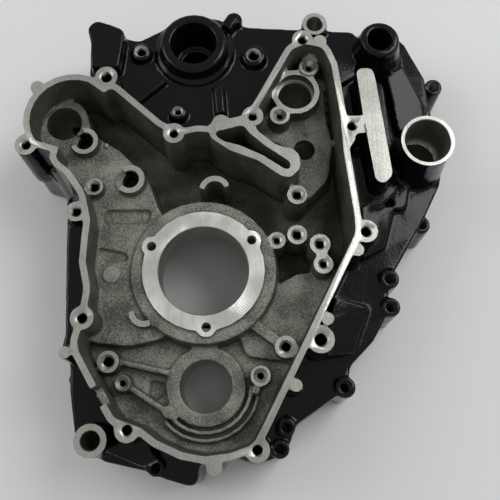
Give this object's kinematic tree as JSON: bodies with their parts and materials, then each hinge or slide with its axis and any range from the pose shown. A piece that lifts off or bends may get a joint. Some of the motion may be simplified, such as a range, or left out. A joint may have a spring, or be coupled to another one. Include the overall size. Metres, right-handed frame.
{
  "type": "engine crankcase half",
  "caption": "Cover-side half of a motorcycle engine crankcase: one aluminium casting, black paint outside, bare metal inside, with bored bearing seats and a machined gasket rail.",
  "frame": {"origin": "middle of the footprint, on the rear joint face", "axes": "+Z is the normal of the cover gasket face, away from the joint face; +Y runs from the engine mount boss's end to the filter housing's end; +X runs towards the filler neck's side"},
  "size_m": [0.3186, 0.3506, 0.09],
  "materials": {
    "painted_cast_aluminium": "gloss"
  },
  "bodies": {
    "root": {"crankcase_casting": "painted_cast_aluminium"}
  },
  "joints": []
}
